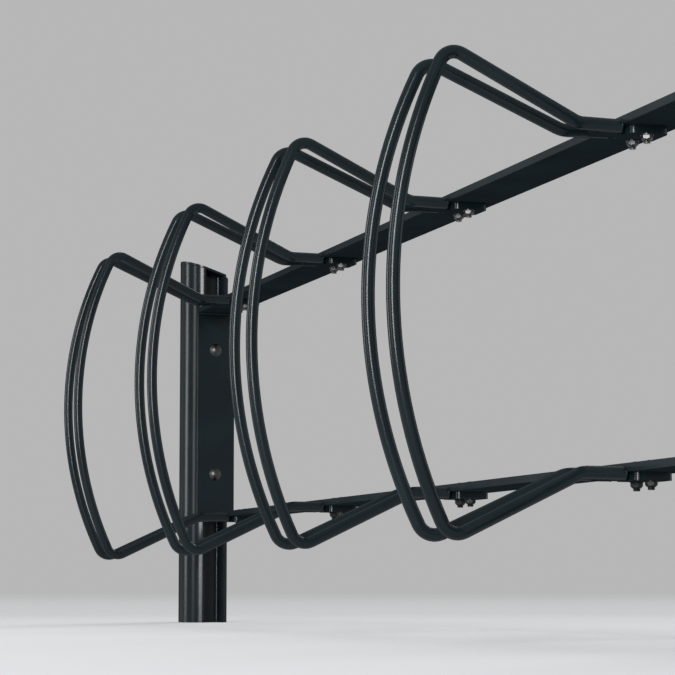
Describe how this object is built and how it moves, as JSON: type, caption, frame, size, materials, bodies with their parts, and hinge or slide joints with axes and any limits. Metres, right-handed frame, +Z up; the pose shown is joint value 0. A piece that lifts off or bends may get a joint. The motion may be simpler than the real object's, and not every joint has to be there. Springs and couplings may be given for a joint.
{
  "type": "bicycle rack",
  "caption": "Street bicycle rack: a row of bent round-bar wheel hoops bolted up under flat steel rails, between round posts that are cast into the ground.",
  "frame": {"origin": "on the ground, midway between the axes of the two posts", "axes": "+X along the rails, -Y towards the arriving bicycle (the hoops stand out that way), +Z up"},
  "size_m": [2.508, 0.3737, 1.016],
  "materials": {
    "anthracite_paint": "gloss",
    "stainless_fasteners": "satin"
  },
  "bodies": {
    "root": {"upper_rail": "anthracite_paint", "lower_rail": "anthracite_paint", "left_end_plate": "anthracite_paint", "right_end_plate": "anthracite_paint", "left_post": "anthracite_paint", "right_post": "anthracite_paint", "left_post_cap": "anthracite_paint", "right_post_cap": "anthracite_paint", "left_post_bolts": "stainless_fasteners", "right_post_bolts": "stainless_fasteners", "left_weld_nuts": "anthracite_paint", "right_weld_nuts": "anthracite_paint", "hoop_1_left_rod": "anthracite_paint", "hoop_1_right_rod": "anthracite_paint", "hoop_1_top_lug": "anthracite_paint", "hoop_1_bottom_lug": "anthracite_paint", "hoop_1_bolts": "stainless_fasteners", "hoop_1_washers": "stainless_fasteners", "hoop_1_nuts": "stainless_fasteners", "hoop_2_left_rod": "anthracite_paint", "hoop_2_right_rod": "anthracite_paint", "hoop_2_top_lug": "anthracite_paint", "hoop_2_bottom_lug": "anthracite_paint", "hoop_2_bolts": "stainless_fasteners", "hoop_2_washers": "stainless_fasteners", "hoop_2_nuts": "stainless_fasteners", "hoop_3_left_rod": "anthracite_paint", "hoop_3_right_rod": "anthracite_paint", "hoop_3_top_lug": "anthracite_paint", "hoop_3_bottom_lug": "anthracite_paint", "hoop_3_bolts": "stainless_fasteners", "hoop_3_washers": "stainless_fasteners", "hoop_3_nuts": "stainless_fasteners", "hoop_4_left_rod": "anthracite_paint", "hoop_4_right_rod": "anthracite_paint", "hoop_4_top_lug": "anthracite_paint", "hoop_4_bottom_lug": "anthracite_paint", "hoop_4_bolts": "stainless_fasteners", "hoop_4_washers": "stainless_fasteners", "hoop_4_nuts": "stainless_fasteners"}
  },
  "joints": []
}
